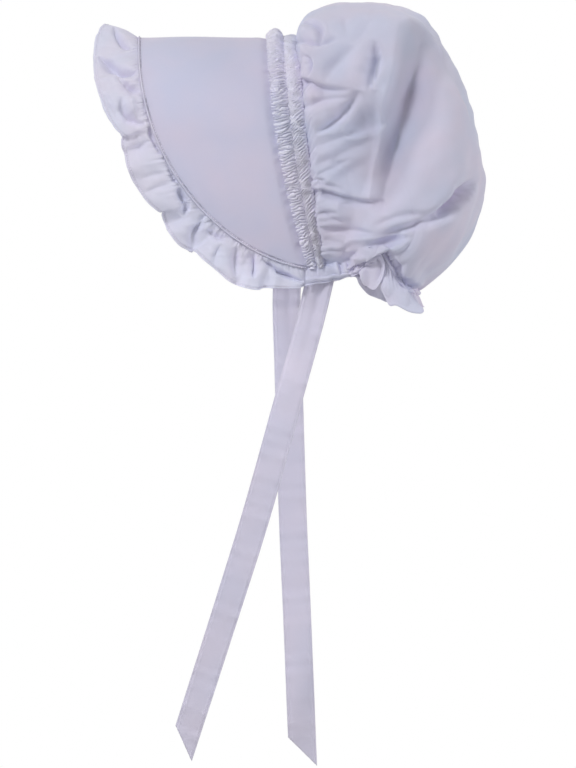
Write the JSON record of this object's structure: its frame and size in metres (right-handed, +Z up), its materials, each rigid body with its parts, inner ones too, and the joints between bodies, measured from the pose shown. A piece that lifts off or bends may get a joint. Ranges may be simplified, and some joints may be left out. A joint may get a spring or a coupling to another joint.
{
  "type": "prairie bonnet",
  "caption": "Gathered cotton bonnet with a stiff rounded brim edged in a ruffle, a shirred band with a frilled heading, a full puffed crown, a neck frill and long hanging ties.",
  "frame": {"origin": "inner face of the gathered band at the top of the head, on the middle plane, where the bonnet sits on the head", "axes": "+Z up, the face looks along -Y, the crown and nape lie towards +Y, and the wearer's left is +X; x = 0 is the middle plane of the sewn bonnet"},
  "size_m": [0.2178, 0.3444, 0.6728],
  "materials": {
    "white_cotton": "soft matt plain-weave cotton, white with a faint lavender tint",
    "brim_cotton": "smooth matt cotton over a stiff inner layer",
    "band_cotton": "matt cotton in fine shirred pleats",
    "tie_cotton": "matt cotton ribbon, folded and stitched"
  },
  "bodies": {
    "root": {"brim": "brim_cotton", "brim_ruffle": "white_cotton", "band_heading": "band_cotton", "gathered_band": "band_cotton", "crown": "white_cotton", "neck_casing": "white_cotton", "neck_frill": "white_cotton", "tie_left": "tie_cotton", "tie_right": "tie_cotton"}
  },
  "joints": []
}
